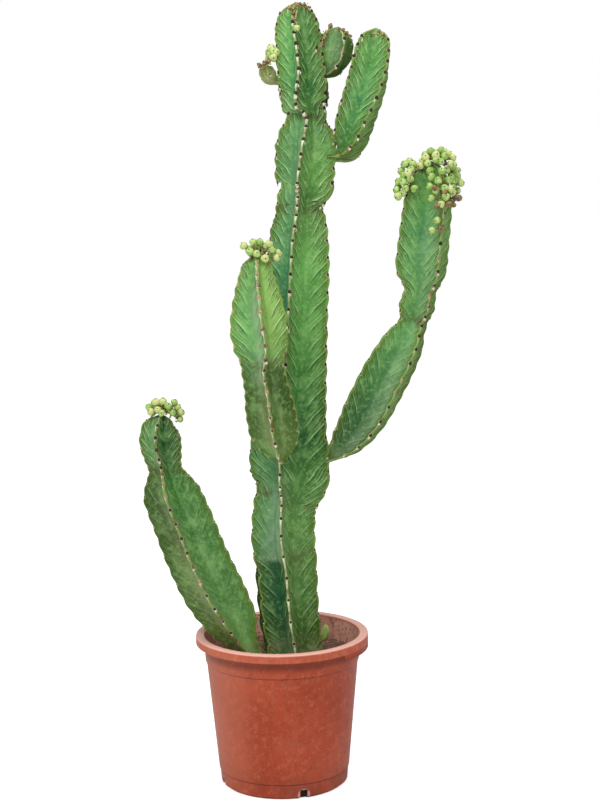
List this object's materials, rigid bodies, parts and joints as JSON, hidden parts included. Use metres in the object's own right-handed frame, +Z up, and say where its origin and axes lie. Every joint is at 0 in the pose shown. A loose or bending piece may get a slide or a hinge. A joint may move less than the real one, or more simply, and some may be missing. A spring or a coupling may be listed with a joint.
{
  "type": "potted euphorbia",
  "caption": "Tall ribbed, branching succulent with scalloped spiny ribs and bunches of seed capsules, standing in compost in a terracotta-coloured plastic nursery container.",
  "frame": {"origin": "centre of the flat underside of the container", "axes": "+Z up along the container's axis, -Y towards the side that the picture shows, +X to its right"},
  "size_m": [0.5587, 0.3057, 1.3419],
  "materials": {
    "pot_plastic": "satin",
    "compost": "matte",
    "stem_skin": "satin",
    "young_skin": "satin",
    "capsules": "satin"
  },
  "bodies": {
    "root": {"pot": "pot_plastic", "soil": "compost", "trunk": "stem_skin", "branch_left": "stem_skin", "branch_front": "stem_skin", "branch_right": "stem_skin", "branch_top_right": "stem_skin", "lobe_right": "stem_skin", "lobe_left": "young_skin", "sprout": "young_skin", "berries_left": "capsules", "berries_front": "capsules", "berries_right_outer": "capsules", "berries_right_top": "capsules", "berries_right_low": "capsules", "berries_right_side": "capsules", "berries_right_rear": "capsules", "berries_crown": "capsules", "berries_tip": "capsules"}
  },
  "joints": []
}
